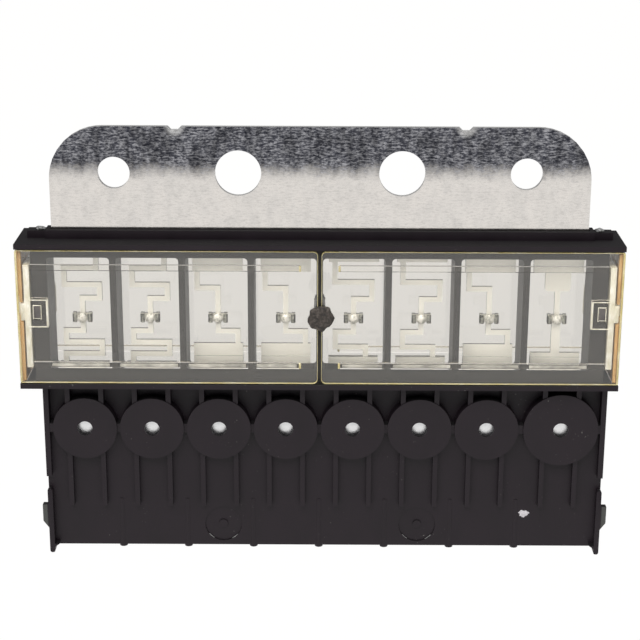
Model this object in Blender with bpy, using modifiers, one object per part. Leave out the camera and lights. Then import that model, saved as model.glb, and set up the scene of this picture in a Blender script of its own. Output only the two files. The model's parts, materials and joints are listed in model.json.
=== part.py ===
"""Fuse box panel: a busbar with eight fusible links, insert-moulded in a black resin housing.

The stamped conductor comes out of the top of the housing as a bolt-on busbar, crosses eight
windows as thin meandering links, and ends in eight terminals with studs behind the skirt.
Four clear covers close the windows, front and back, and one melted stake clamps them. Two spring
fingers low on the sides latch the panel into its carrier.

Every object is placed from the conductor's mid-plane: X runs to the right along the busbar, Y to
the rear and Z up, with Z = 0 on the line of the busbar's four holes.
"""

import math

import bmesh
import bpy
from mathutils import Matrix, Vector

MM = 0.001
NAME = "fuse_box_panel"
GAP = 0.3 * MM  # between two pieces that touch
BITE = 0.5 * MM  # how far joined shapes run into each other

# Overall layout
LINKS = 8
PITCH = 18.0 * MM  # from link to link
FLANGE_DEPTH = 17.0 * MM  # the top flange and the bottom lip, front to back

# Conductor stamping
BUSBAR_THICKNESS = 1.5 * MM
BUSBAR_INSET = 1.6 * MM  # from the outer half pitch to the busbar's side
BUSBAR_RISE = 12.2 * MM  # from the hole line to the top edge
BUSBAR_CORNER = 14.0 * MM
INNER_HOLE_X, INNER_HOLE_RADIUS = 21.3 * MM, 6.0 * MM
OUTER_HOLE_X, OUTER_HOLE_RADIUS = 53.6 * MM, 4.2 * MM
CARRIER_NOTCH_X, CARRIER_NOTCH_WIDTH, CARRIER_NOTCH_DEPTH = 37.6 * MM, 3.6 * MM, 0.9 * MM
LINK_THICKNESS = 0.8 * MM
LINK_WIDTH = 1.4 * MM
WIDE_LINK_WIDTH = 2.4 * MM
PAD_WIDTH = 13.2 * MM
TERMINAL_WIDTH = 13.2 * MM
BIG_TERMINAL_WIDTH = 17.0 * MM

# Housing heights, downwards from the hole line
HOLE_LINE_TO_RIDGE = 15.0 * MM
RIDGE_HEIGHT, RIDGE_DEPTH = 2.3 * MM, 5.4 * MM
RIDGE_END_LENGTH, RIDGE_END_DEPTH = 4.8 * MM, 3.6 * MM
FLANGE_HEIGHT = 1.35 * MM
FLANGE_OVERHANG = 3.9 * MM  # past each end of the frame
TOP_BAR = 2.65 * MM
WINDOW_HEIGHT = 30.5 * MM
WINDOW_CORNER = 0.9 * MM
DIVIDER = 1.7 * MM
END_BAR = 4.15 * MM
BOTTOM_BAR = 3.7 * MM
REAR_SILL_DROP = 2.4 * MM  # how much lower a window's sill is behind the conductor
LIP_HEIGHT = 1.4 * MM

# Skirt, bosses and fingers
LIP_TO_STUDS = 12.4 * MM
STUDS_TO_SKIRT_END = 35.2 * MM
BOSS_SPACING = 0.8 * MM  # between neighbouring bosses
BIG_BOSS_RADIUS = 10.1 * MM
BIG_BOSS_SHIFT = 2.0 * MM
BOSS_FRONT = 5.4 * MM
BOSS_WEB = 2.4 * MM
PIN_HOLE_RADIUS = 2.05 * MM
SKIRT_WALL = 1.4 * MM
LEFT_WALL_REACH, RIGHT_WALL_REACH = 11.0 * MM, 12.1 * MM  # from the end stud to the wall's outside
UPPER_PLATE_FRONT = 1.9 * MM
LOWER_PLATE_FRONT = 2.8 * MM
SIDE_WALL_FRONT = 5.0 * MM
BAY_DEPTH = 6.0 * MM  # from the mid-plane to the rear of the partitions
RIB_SPACING, RIB_WIDTH, RIB_FRONT = 9.0 * MM, 1.3 * MM, 4.4 * MM
STUDS_TO_RIB_END = 23.0 * MM
BEAD_RADIUS, BEAD_LENGTH, BEAD_OVERRUN = 1.1 * MM, 13.8 * MM, 0.6 * MM
BEAD_RELIEF = 0.2 * MM  # how far a bead stands out of the skirt
DIAL_RADIUS, DIAL_DEPTH, DIAL_HUB_RADIUS = 5.1 * MM, 0.35 * MM, 1.2 * MM
DIAL_RISE = 6.3 * MM  # from the skirt's end to a dial's centre
LEFT_DIAL_SHIFT = 0.8 * MM  # from the middle of its bay
FINGER_TOP_RISE = 17.3 * MM  # from the skirt's end to the finger's free end
FINGER_SLOT = 3.8 * MM  # between the side wall and the finger's free end
FINGER_BACK = 3.1 * MM
FINGER_ROOT_RISE = 0.9 * MM
FINGER_TIP_DROP = 1.6 * MM
HOOK_TOP_DROP, HOOK_FLAT, HOOK_HEIGHT, HOOK_REACH = 4.6 * MM, 4.9 * MM, 6.9 * MM, 1.5 * MM
FOOT_FILLET = 1.2 * MM
TIP_CORNER = 0.6 * MM
FINGER_CORNER = 0.4 * MM

# Covers
COVER_PLATE = 1.2 * MM
COVER_SPLIT = 0.9 * MM  # between the left and right covers
COVER_CORNER, COVER_OUTER_CORNER = 1.3 * MM, 0.5 * MM
END_WALL, INNER_END_WALL = 1.5 * MM, 2.0 * MM
END_WALL_INSET = 0.1 * MM  # from the cover's end to the end wall's outside
RAIL_HEIGHT, RAIL_OFFSET, RAIL_END = 1.55 * MM, 4.0 * MM, 5.2 * MM
RAIL_DEPTH = 1.0 * MM  # how far a cover's plate stands off the frame round the windows
LATCH_RISE = 3.3 * MM  # from the tin pellets to the middle of the latch pads
LATCH_PAD_WIDTH, LATCH_PAD_HEIGHT = 5.2 * MM, 7.6 * MM
LATCH_HOLE_WIDTH, LATCH_HOLE_HEIGHT = 1.9 * MM, 3.7 * MM
LATCH_BRIDGE_HEIGHT = 5.2 * MM

# Fasteners and tin
STAKE_RADIUS, STAKE_HEAD_HEIGHT = 0.75 * MM, 1.5 * MM
FRONT_HEAD_RADIUS, REAR_HEAD_RADIUS = 3.45 * MM, 1.5 * MM
STAKE_BOSS_WALL = 0.45 * MM
STAKE_RISE = 2.4 * MM  # from the tin pellets to the stake
M6_RADIUS, M6_FLATS = 3.0 * MM, 10.0 * MM
M8_RADIUS, M8_FLATS = 4.0 * MM, 13.0 * MM
STUD_HEAD = 2.9 * MM
STUD_LENGTH = 15.0 * MM  # behind the terminal
STUD_CHAMFER = 0.6 * MM
PELLET_DROP = 17.8 * MM  # from the top of the window to the tin pellet
PELLET_RADIUS = 1.45 * MM
PELLET_DEPTH = 1.5 * MM
CRIMP_REACH, CRIMP_EAR, CRIMP_HEIGHT = 2.5 * MM, 0.9 * MM, 2.1 * MM

# Places worked out from the sizes above
LINK_X = [(i - (LINKS - 1) / 2) * PITCH for i in range(LINKS)]
STUD_X = LINK_X[:-1] + [LINK_X[-1] + BIG_BOSS_SHIFT]
BAY_EDGES = [x + PITCH / 2 for x in LINK_X[:-1]]
BUSBAR_HALF = LINKS * PITCH / 2 - BUSBAR_INSET
BODY_HALF = LINKS * PITCH / 2 - DIVIDER / 2 + END_BAR
FLANGE_HALF = BODY_HALF + FLANGE_OVERHANG
FLANGE_FACE = FLANGE_DEPTH / 2
BODY_FACE = FLANGE_FACE - COVER_PLATE - RAIL_DEPTH - GAP
METAL_FACE = BUSBAR_THICKNESS / 2
SLOT_FACE = METAL_FACE + GAP
RIDGE_TOP = -HOLE_LINE_TO_RIDGE
FLANGE_TOP = RIDGE_TOP - RIDGE_HEIGHT
FLANGE_BOTTOM = FLANGE_TOP - FLANGE_HEIGHT
WINDOW_TOP = FLANGE_BOTTOM - TOP_BAR
WINDOW_BOTTOM = WINDOW_TOP - WINDOW_HEIGHT
LIP_TOP = WINDOW_BOTTOM - BOTTOM_BAR
LIP_BOTTOM = LIP_TOP - LIP_HEIGHT
STUD_Z = LIP_BOTTOM - LIP_TO_STUDS
SKIRT_END = STUD_Z - STUDS_TO_SKIRT_END
FINGER_TOP = SKIRT_END + FINGER_TOP_RISE
PELLET_Z = WINDOW_TOP - PELLET_DROP
STAKE_Z = PELLET_Z + STAKE_RISE
LATCH_Z = PELLET_Z + LATCH_RISE
BOSS_RADIUS = (PITCH - BOSS_SPACING) / 2
LEFT_SIDE, RIGHT_SIDE = STUD_X[0] - LEFT_WALL_REACH, STUD_X[-1] + RIGHT_WALL_REACH

# Each link's route: steps of (share of the half pad width, level), where level 0 is the tin
# pellet, 1 the window's top edge and -1 its bottom edge.
HIGH_RATING = {
    "upper": [(-0.83, 0.80), (-0.83, 0.452), (0, 0.452), (0, 0)],
    "lower": [(0, 0), (0, -0.31), (0.79, -0.31), (0.79, -0.68)],
    "top_pad": 0.708,
    "bottom_pad": -0.575,
}
LOW_RATING = {
    "upper": [(0.59, 1.1), (0.59, 0.758), (-0.7, 0.758), (-0.7, 0.495), (0.7, 0.495),
              (0.7, 0.287), (0, 0.287), (0, 0)],
    "lower": [(0, 0), (0, -0.31), (-0.7, -0.31), (-0.7, -0.56), (0.74, -0.56),
              (0.74, -0.82), (-0.74, -0.82), (-0.74, -1.1)],
    "top_pad": 1.0,
    "bottom_pad": -1.0,
}
MIDDLE_RATING = {
    "upper": [(-0.76, 0.95), (-0.76, 0.55), (0.73, 0.55), (0.73, 0.287), (0, 0.287), (0, 0)],
    "lower": [(0, 0), (0, -0.32), (-0.73, -0.32), (-0.73, -0.65), (0.5, -0.65), (0.5, -0.95)],
    "top_pad": 0.87,
    "bottom_pad": -0.86,
}
STRAIGHT = {
    "upper": [(0, 0.8), (0, 0)],
    "lower": [(0, 0), (0, -0.9)],
    "top_pad": 0.708,
    "bottom_pad": -0.755,
    "tab": 0.42,
}
ROUTES = [LOW_RATING, LOW_RATING, HIGH_RATING, HIGH_RATING,
          MIDDLE_RATING, MIDDLE_RATING, HIGH_RATING, STRAIGHT]
TAB_WIDTH, TAB_CORNER = 6.8 * MM, 1.0 * MM
COIN_LEVELS = (0.87, -0.85)  # where the pads step from full thickness to the links' thickness


def clear_scene():
    for obj in list(bpy.data.objects):
        bpy.data.objects.remove(obj)


def make_collection(name):
    made = bpy.data.collections.new(name)
    bpy.context.scene.collection.children.link(made)
    return made


def make_material(name, colour, roughness, metallic=0.0, alpha=1.0):
    made = bpy.data.materials.new(name)
    made.use_nodes = True
    shader = made.node_tree.nodes["Principled BSDF"]
    shader.inputs["Base Color"].default_value = (*colour, 1.0)
    shader.inputs["Roughness"].default_value = roughness
    shader.inputs["Metallic"].default_value = metallic
    shader.inputs["Alpha"].default_value = alpha
    return made


def level(share):
    """The height of a share of the way from the pellet to the window's top or bottom edge."""
    reach = WINDOW_TOP - PELLET_Z if share > 0 else PELLET_Z - WINDOW_BOTTOM
    return PELLET_Z + share * reach


def mirrored(span, side):
    """A span of x or y, turned over to the negative side where side is -1."""
    return tuple(sorted(side * end for end in span))


def piece(name, mesh, centre=(0, 0, 0)):
    """An object that hangs from the mid-plane, in no collection yet."""
    obj = bpy.data.objects.new(name, mesh)
    obj.parent = MID_PLANE
    obj.location = centre
    return obj


def box(name, x, y, z):
    """A block from (low, high) spans."""
    spans = [sorted(span) for span in (x, y, z)]
    size = [high - low for low, high in spans]
    centre = [(high + low) / 2 for low, high in spans]
    mesh = bpy.data.meshes.new(name)
    shape = bmesh.new()
    bmesh.ops.create_cube(shape, size=1.0, matrix=Matrix.Diagonal((*size, 1.0)))
    shape.to_mesh(mesh)
    shape.free()
    return piece(name, mesh, centre)


def prism(name, x, z, radius, y, sides=40):
    """A round or hexagonal bar along Y, between two depths."""
    low, high = sorted(y)
    mesh = bpy.data.meshes.new(name)
    shape = bmesh.new()
    bmesh.ops.create_cone(
        shape, cap_ends=True, segments=sides, radius1=radius, radius2=radius, depth=high - low,
        matrix=Matrix.Rotation(math.radians(90), 4, "X"),
    )
    shape.to_mesh(mesh)
    shape.free()
    return piece(name, mesh, (x, (low + high) / 2, z))


def rounded(corners, steps=5):
    """An outline's points from (x, z, radius) corners, with an arc at each corner."""
    points = []
    for i, (x, z, radius) in enumerate(corners):
        here = Vector((x, z))
        before = (Vector(corners[i - 1][:2]) - here).normalized()
        after = (Vector(corners[(i + 1) % len(corners)][:2]) - here).normalized()
        if radius == 0:
            points.append(here)
            continue
        half = before.angle(after) / 2
        start = here + before * radius / math.tan(half)
        end = here + after * radius / math.tan(half)
        centre = here + (before + after).normalized() * radius / math.sin(half)
        for step in range(steps + 1):
            chord = start.lerp(end, step / steps) - centre
            points.append(centre + chord.normalized() * radius)
    return points


def circle(x, z, radius, sides=40):
    turns = [2 * math.pi * i / sides for i in range(sides)]
    return [Vector((x + radius * math.cos(turn), z + radius * math.sin(turn))) for turn in turns]


def flat(name, loops, y):
    """A flat piece between two depths, from an outer outline and the outlines of its holes."""
    low, high = sorted(y)
    curve = bpy.data.curves.new(name, "CURVE")
    curve.dimensions = "2D"
    curve.fill_mode = "BOTH"
    curve.extrude = (high - low) / 2
    for loop in loops:
        spline = curve.splines.new("POLY")
        spline.points.add(len(loop) - 1)
        spline.use_cyclic_u = True
        for point, (x, z) in zip(spline.points, loop):
            point.co = (x, z, 0, 1)
    drawn = bpy.data.objects.new(name + "_outline", curve)
    drawn.rotation_euler = (math.radians(90), 0, 0)
    bpy.context.scene.collection.objects.link(drawn)
    graph = bpy.context.evaluated_depsgraph_get()
    mesh = bpy.data.meshes.new_from_object(drawn.evaluated_get(graph))
    shape = bmesh.new()
    shape.from_mesh(mesh)
    bmesh.ops.remove_doubles(shape, verts=shape.verts, dist=0.0001 * MM)
    bmesh.ops.recalc_face_normals(shape, faces=shape.faces)
    shape.to_mesh(mesh)
    shape.free()
    mesh.transform(drawn.matrix_world)
    bpy.data.objects.remove(drawn)
    return piece(name, mesh, (0, (low + high) / 2, 0))


def strip(path, width):
    """The outline of a strip of one width along a square-cornered path, ends and all."""
    points = [Vector(point) for point in path]
    runs = [(b - a).normalized() for a, b in zip(points, points[1:])]
    sides = [Vector((-run.y, run.x)) * width / 2 for run in runs]
    offsets = [sides[0]] + [a + b for a, b in zip(sides, sides[1:])] + [sides[-1]]
    left = [point + offset for point, offset in zip(points, offsets)]
    right = [point - offset for point, offset in zip(points, offsets)]
    return left + right[::-1]


def turned(name, profile, steps=20):
    """A shape turned about the Y axis from (radius, y) points, listed from the front backwards."""
    mesh = bpy.data.meshes.new(name)
    mesh.from_pydata([(radius, y, 0) for radius, y in reversed(profile)],
                     [(i, i + 1) for i in range(len(profile) - 1)], [])
    made = piece(name, mesh)
    screw = made.modifiers.new("turn", "SCREW")
    screw.axis = "Y"
    screw.steps = screw.render_steps = steps
    screw.use_merge_vertices = True
    screw.merge_threshold = 0.00001 * MM
    return made


def join_or_cut(target, operation, tools):
    """One Boolean with several tools, which go in a collection of cutters of their own."""
    group = bpy.data.collections.new(f"{target.name}_{operation.lower()}_{len(target.modifiers)}")
    CUTTERS.children.link(group)
    for tool in tools:
        group.objects.link(tool)
        tool.hide_render = True
        tool.display_type = "WIRE"
    change = target.modifiers.new(operation.lower(), "BOOLEAN")
    change.operation = operation
    change.solver = "EXACT"
    change.operand_type = "COLLECTION"
    change.collection = group


def finish(made, finish_material):
    """Gives a part its material, and smooth shading on its round sides."""
    made.data.materials.clear()
    made.data.materials.append(finish_material)
    made.data.shade_smooth()
    made.data.set_sharp_from_angle(angle=math.radians(30))
    return made


def busbar_outline():
    """The busbar's outline, with the two carrier notches in its top edge."""
    def notch(x):
        half = CARRIER_NOTCH_WIDTH / 2
        low = BUSBAR_RISE - CARRIER_NOTCH_DEPTH
        return [(x + half, BUSBAR_RISE, 0), (x + half / 2, low, 0),
                (x - half / 2, low, 0), (x - half, BUSBAR_RISE, 0)]

    bottom = (FLANGE_BOTTOM + WINDOW_TOP) / 2
    corners = [(-BUSBAR_HALF, bottom, 0), (BUSBAR_HALF, bottom, 0),
               (BUSBAR_HALF, BUSBAR_RISE, BUSBAR_CORNER)]
    corners += notch(CARRIER_NOTCH_X) + notch(-CARRIER_NOTCH_X)
    corners += [(-BUSBAR_HALF, BUSBAR_RISE, BUSBAR_CORNER)]
    return rounded(corners, steps=10)


def link_pieces(i, route):
    """One link's thick and thin pads, strips, tab and crimp ears."""
    x, half = LINK_X[i], PAD_WIDTH / 2
    metal = (-METAL_FACE, METAL_FACE)
    thin = (-LINK_THICKNESS / 2, LINK_THICKNESS / 2)
    across = (x - half, x + half)
    top_pad, bottom_pad = route["top_pad"], route["bottom_pad"]
    top_step, bottom_step = max(top_pad, COIN_LEVELS[0]), min(bottom_pad, COIN_LEVELS[1])
    made = [
        box("top_pad", across, metal, (WINDOW_TOP + TOP_BAR / 2 + BITE, level(top_step))),
        box("bottom_pad", across, metal, (level(bottom_step), LIP_TOP)),
    ]
    if top_pad < top_step:
        made.append(box("top_step", across, thin, (level(top_step) + BITE, level(top_pad))))
    if bottom_pad > bottom_step:
        made.append(box("bottom_step", across, thin, (level(bottom_step) - BITE, level(bottom_pad))))
    for part in ("upper", "lower"):
        path = [(x + share * half, level(rise)) for share, rise in route[part]]
        wide = route is STRAIGHT and part == "lower"
        outline = strip(path, WIDE_LINK_WIDTH if wide else LINK_WIDTH)
        made.append(flat(f"{part}_strip", [outline], thin))
    if "tab" in route:
        low, edge = level(route["tab"]), TAB_WIDTH / 2
        corners = [(x - edge, low, TAB_CORNER), (x + edge, low, TAB_CORNER),
                   (x + edge, level(top_pad) + BITE, 0), (x - edge, level(top_pad) + BITE, 0)]
        made.append(flat("tab", [rounded(corners)], thin))
    return made + crimp_pieces(x, thin)


def crimp_pieces(x, thin):
    """The cross arm at the pellet, and the two ears folded forward from it."""
    half, ear_front = CRIMP_HEIGHT / 2, -LINK_THICKNESS / 2 - CRIMP_EAR
    made = [box("arm", (x - CRIMP_REACH, x + CRIMP_REACH), thin, (PELLET_Z - half, PELLET_Z + half))]
    for side in (-1, 1):
        ear = mirrored((CRIMP_REACH - CRIMP_EAR, CRIMP_REACH), side)
        made.append(box("ear", (x + ear[0], x + ear[1]), (ear_front, 0),
                        (PELLET_Z - half - GAP, PELLET_Z + half + GAP)))
    return made


def terminal(i):
    """A terminal blade with its stud hole, from inside the bottom bar to below the stud."""
    big = i == LINKS - 1
    hole = (M8_RADIUS if big else M6_RADIUS) + GAP
    half = (BIG_TERMINAL_WIDTH if big else TERMINAL_WIDTH) / 2
    neck, x = PAD_WIDTH / 2, STUD_X[i]
    shoulder = LIP_BOTTOM - GAP
    corners = [(LINK_X[i] - neck, LIP_TOP + BITE, 0), (LINK_X[i] - neck, shoulder, 0),
               (x - half, shoulder - (half - neck), 0),
               (x - half, STUD_Z - half, half - GAP), (x + half, STUD_Z - half, half - GAP),
               (x + half, shoulder - (half - neck), 0),
               (LINK_X[i] + neck, shoulder, 0), (LINK_X[i] + neck, LIP_TOP + BITE, 0)]
    outline = rounded(corners, steps=8)
    outline = [point for k, point in enumerate(outline) if (point - outline[k - 1]).length > 0.001 * MM]
    return flat(f"terminal_{i + 1}", [outline, circle(x, STUD_Z, hole, 32)], (-METAL_FACE, METAL_FACE))


def make_conductor(finish_material):
    """The stamping: busbar, eight links and eight terminals in one piece of metal."""
    holes = [circle(side * x, 0, radius) for side in (-1, 1)
             for x, radius in ((INNER_HOLE_X, INNER_HOLE_RADIUS), (OUTER_HOLE_X, OUTER_HOLE_RADIUS))]
    made = flat("conductor", [busbar_outline(), *holes], (-METAL_FACE, METAL_FACE))
    tools = [tool for i, route in enumerate(ROUTES) for tool in link_pieces(i, route)]
    join_or_cut(made, "UNION", tools + [terminal(i) for i in range(LINKS)])
    return finish(made, finish_material)


def frame_blocks():
    """The flange, its ridge, the frame round the windows and the lip under it."""
    ridge_half = BUSBAR_HALF + SKIRT_WALL
    blocks = [
        box("frame", (-BODY_HALF, BODY_HALF), (-BODY_FACE, BODY_FACE),
            (LIP_TOP - BITE, FLANGE_BOTTOM + BITE)),
        box("lip", (-FLANGE_HALF, FLANGE_HALF), (-FLANGE_FACE, FLANGE_FACE), (LIP_BOTTOM, LIP_TOP)),
        box("ridge", (-ridge_half, ridge_half), (-RIDGE_DEPTH / 2, RIDGE_DEPTH / 2),
            (FLANGE_TOP - BITE, RIDGE_TOP)),
    ]
    for side in (-1, 1):
        span = mirrored((ridge_half - BITE, ridge_half + RIDGE_END_LENGTH), side)
        blocks.append(box("ridge_end", span, (-RIDGE_END_DEPTH / 2, RIDGE_END_DEPTH / 2),
                          (FLANGE_TOP - BITE, RIDGE_TOP - GAP)))
    return blocks


def boss_blocks(i):
    """The front boss over one stud's head, with the ribs above and below it."""
    big = i == LINKS - 1
    x, radius = STUD_X[i], BIG_BOSS_RADIUS if big else BOSS_RADIUS
    behind = -SLOT_FACE - BITE
    blocks = [prism(f"boss_{i + 1}", x, STUD_Z, radius, (-BOSS_FRONT, behind), 36)]
    for side in (-1, 1):
        across = mirrored(((RIB_SPACING - RIB_WIDTH) / 2, (RIB_SPACING + RIB_WIDTH) / 2), side)
        span = (x + across[0], x + across[1])
        inside = STUD_Z + radius / 2
        blocks.append(box("upper_rib", span, (-BOSS_FRONT + GAP, behind), (inside, LIP_BOTTOM + BITE)))
        blocks.append(box("lower_rib", span, (-RIB_FRONT, behind),
                          (STUD_Z - STUDS_TO_RIB_END, STUD_Z - radius / 2)))
    return blocks


def skirt_blocks():
    """The skirt: front plates, side walls, partitions between the rear bays, and beads."""
    webs_top = STUD_Z + BOSS_WEB / 2
    behind = -SLOT_FACE
    left, right = LEFT_SIDE + BITE, RIGHT_SIDE - BITE
    finger_slot = FINGER_TOP + FINGER_SLOT
    blocks = [
        box("upper_plate", (left, right), (-UPPER_PLATE_FRONT, behind), (STUD_Z, LIP_BOTTOM + BITE)),
        box("lower_plate", (left, right), (-LOWER_PLATE_FRONT, behind), (SKIRT_END, webs_top - BITE)),
        box("web", (left, right), (-BOSS_FRONT + BITE, behind), (webs_top - BOSS_WEB, webs_top)),
    ]
    for outside, inside in ((LEFT_SIDE, LEFT_SIDE + SKIRT_WALL), (RIGHT_SIDE, RIGHT_SIDE - SKIRT_WALL)):
        blocks.append(box("side_wall", (outside, inside), (-SIDE_WALL_FRONT, BAY_DEPTH),
                          (finger_slot, LIP_BOTTOM + BITE)))
        blocks.append(box("finger_wall", (outside, inside), (-LOWER_PLATE_FRONT + GAP, BAY_DEPTH),
                          (SKIRT_END, finger_slot + BITE)))
    for x in BAY_EDGES:
        blocks.append(box("partition", (x - SKIRT_WALL / 2, x + SKIRT_WALL / 2), (behind - BITE, BAY_DEPTH),
                          (SKIRT_END, LIP_BOTTOM + BITE)))
        blocks.append(bead(x))
    return blocks


def bead(x):
    """A half-round bead down the skirt's front, a little longer than the skirt."""
    mesh = bpy.data.meshes.new("bead")
    shape = bmesh.new()
    bmesh.ops.create_cone(shape, cap_ends=True, segments=12, radius1=BEAD_RADIUS, radius2=BEAD_RADIUS,
                          depth=BEAD_LENGTH + BEAD_OVERRUN)
    shape.to_mesh(mesh)
    shape.free()
    depth = -LOWER_PLATE_FRONT + BEAD_RADIUS - BEAD_RELIEF
    return piece("bead", mesh, (x, depth, SKIRT_END + (BEAD_LENGTH - BEAD_OVERRUN) / 2))


def foot_blocks():
    """The two rounded feet that carry the fingers, below the skirt's corners."""
    blocks = []
    for side, outside in ((-1, LEFT_SIDE), (1, RIGHT_SIDE)):
        inside = outside - side * SKIRT_WALL
        root = SKIRT_END + FINGER_ROOT_RISE
        tip = SKIRT_END - FINGER_TIP_DROP
        corners = [(outside, root, 0), (outside, tip, TIP_CORNER), (inside, tip, TIP_CORNER),
                   (inside, SKIRT_END, 0), (inside - side * FOOT_FILLET, root, 0)]
        blocks.append(flat("foot", [rounded(corners)], (-SIDE_WALL_FRONT, -LOWER_PLATE_FRONT + BITE)))
    return blocks


def window_cutter(x, bottom, y):
    """The tool for one window's opening over the depth y, with round corners."""
    half = (PITCH - DIVIDER) / 2
    corners = [(x + sx * half, z, WINDOW_CORNER) for sx, z in
               ((-1, bottom), (1, bottom), (1, WINDOW_TOP), (-1, WINDOW_TOP))]
    return flat("window", [rounded(corners, steps=3)], y)


def housing_cuts():
    """The windows, the conductor's slots, the stud heads' pockets, the pin holes and the dials."""
    busbar_slot = BUSBAR_HALF + GAP
    cuts = [window_cutter(x, WINDOW_BOTTOM, (-FLANGE_FACE, 0)) for x in LINK_X]
    cuts += [window_cutter(x, WINDOW_BOTTOM - REAR_SILL_DROP, (-SLOT_FACE, FLANGE_FACE)) for x in LINK_X]
    cuts.append(box("busbar_slot", (-busbar_slot, busbar_slot), (-SLOT_FACE, SLOT_FACE),
                    (WINDOW_TOP - GAP, RIDGE_TOP + BITE)))
    for i, x in enumerate(LINK_X):
        half = PAD_WIDTH / 2 + GAP
        cuts.append(box("terminal_slot", (x - half, x + half), (-SLOT_FACE, SLOT_FACE),
                        (LIP_BOTTOM - BITE, WINDOW_BOTTOM + GAP)))
        big = i == LINKS - 1
        pocket = ((M8_FLATS if big else M6_FLATS) / 2 + GAP) / math.cos(math.radians(30))
        front = SLOT_FACE + STUD_HEAD + GAP
        cuts.append(prism("head_pocket", STUD_X[i], STUD_Z, pocket, (-front, 0), 6))
        cuts.append(prism("pin_hole", STUD_X[i], STUD_Z, PIN_HOLE_RADIUS, (-BOSS_FRONT - BITE, 0), 20))
    return cuts


def dial_pieces():
    """Two round recesses in the skirt's front, each left with a small hub."""
    cuts, hubs = [], []
    for x in (LINK_X[2] + LEFT_DIAL_SHIFT, LINK_X[5]):
        z = SKIRT_END + DIAL_RISE
        face = -LOWER_PLATE_FRONT
        cuts.append(prism("dial", x, z, DIAL_RADIUS, (face - BITE, face + DIAL_DEPTH), 24))
        hubs.append(prism("dial_hub", x, z, DIAL_HUB_RADIUS, (face, face + DIAL_DEPTH + GAP), 10))
    return cuts, hubs


def make_housing(finish_material):
    """The resin moulding that everything else sits in."""
    made = box("housing", (-FLANGE_HALF, FLANGE_HALF), (-FLANGE_FACE, FLANGE_FACE),
               (FLANGE_BOTTOM, FLANGE_TOP))
    bosses = [block for i in range(LINKS) for block in boss_blocks(i)]
    dials, hubs = dial_pieces()
    join_or_cut(made, "UNION", frame_blocks() + skirt_blocks() + foot_blocks() + bosses)
    join_or_cut(made, "DIFFERENCE", housing_cuts() + dials)
    stake_boss = STAKE_RADIUS + GAP + STAKE_BOSS_WALL
    join_or_cut(made, "UNION",
                [prism("stake_boss", 0, STAKE_Z, stake_boss, (-BODY_FACE, BODY_FACE)), *hubs])
    join_or_cut(made, "DIFFERENCE",
                [prism("stake_hole", 0, STAKE_Z, STAKE_RADIUS + GAP, (-FLANGE_FACE, FLANGE_FACE), 24)])
    return finish(made, finish_material)


def make_cover(name, side, face, finish_material):
    """One clear cover; side is -1 for the left one, and face is -1 for the front one."""
    top, bottom = FLANGE_BOTTOM - GAP, LIP_TOP + GAP
    inner, outer = COVER_SPLIT / 2, FLANGE_HALF - GAP / 2
    back = FLANGE_FACE - COVER_PLATE
    corners = [(side * inner, top, COVER_CORNER), (side * outer, top, COVER_OUTER_CORNER),
               (side * outer, bottom, COVER_OUTER_CORNER), (side * inner, bottom, COVER_CORNER)]
    made = flat(name, [rounded(corners, steps=4)], mirrored((back, FLANGE_FACE), face))

    rail_top, rail_bottom = top - RAIL_OFFSET, bottom + RAIL_OFFSET
    seat = mirrored((BODY_FACE + GAP, back + BITE), face)
    to_middle = mirrored((GAP / 2, back + BITE), face)
    wall_outer = outer - END_WALL - GAP
    wall_inner = BODY_HALF + GAP
    along = mirrored((RAIL_END, wall_outer - BITE), side)
    latch = mirrored((wall_outer - INNER_END_WALL / 2 - LATCH_PAD_WIDTH, wall_outer - BITE), side)
    pad = (LATCH_Z - LATCH_PAD_HEIGHT / 2, LATCH_Z + LATCH_PAD_HEIGHT / 2)
    bridge = (LATCH_Z - LATCH_BRIDGE_HEIGHT / 2, LATCH_Z + LATCH_BRIDGE_HEIGHT / 2)
    join_or_cut(made, "UNION", [
        box("end_wall", mirrored((outer - END_WALL, outer - END_WALL_INSET), side), to_middle,
            (bottom + GAP, top - GAP)),
        box("inner_wall", mirrored((wall_inner, wall_outer), side), to_middle, (rail_bottom, rail_top)),
        box("top_rail", along, seat, (rail_top - RAIL_HEIGHT, rail_top)),
        box("bottom_rail", along, seat, (rail_bottom, rail_bottom + RAIL_HEIGHT)),
        box("latch_pad", latch, seat, pad),
        box("latch_bridge", mirrored((wall_inner + BITE, outer - BITE), side), to_middle, bridge),
    ])
    hole_far = wall_outer - INNER_END_WALL - GAP
    hole = mirrored((hole_far - LATCH_HOLE_WIDTH, hole_far), side)
    hole_half = LATCH_HOLE_HEIGHT / 2
    notch_radius = STAKE_RADIUS + GAP
    through = mirrored((BODY_FACE, FLANGE_FACE + BITE), face)
    join_or_cut(made, "DIFFERENCE", [
        box("latch_hole", hole, through, (LATCH_Z - hole_half, LATCH_Z + hole_half)),
        prism("stake_notch", 0, STAKE_Z, notch_radius, through, 24),
    ])
    return finish(made, finish_material)


def make_stake(finish_material):
    """The stake through the centre divider, melted over both pairs of covers."""
    under = FLANGE_FACE + GAP
    turns = [math.radians(degrees) for degrees in (0, 30, 60)]

    def head(radius):
        dome = [(radius * math.cos(turn), under + STAKE_HEAD_HEIGHT * math.sin(turn)) for turn in turns]
        return [(STAKE_RADIUS, under)] + dome + [(0, under + STAKE_HEAD_HEIGHT)]

    front = [(radius, -y) for radius, y in reversed(head(FRONT_HEAD_RADIUS))]
    made = turned("heat_stake", front + head(REAR_HEAD_RADIUS))
    made.location = (0, 0, STAKE_Z)
    return finish(made, finish_material)


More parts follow.
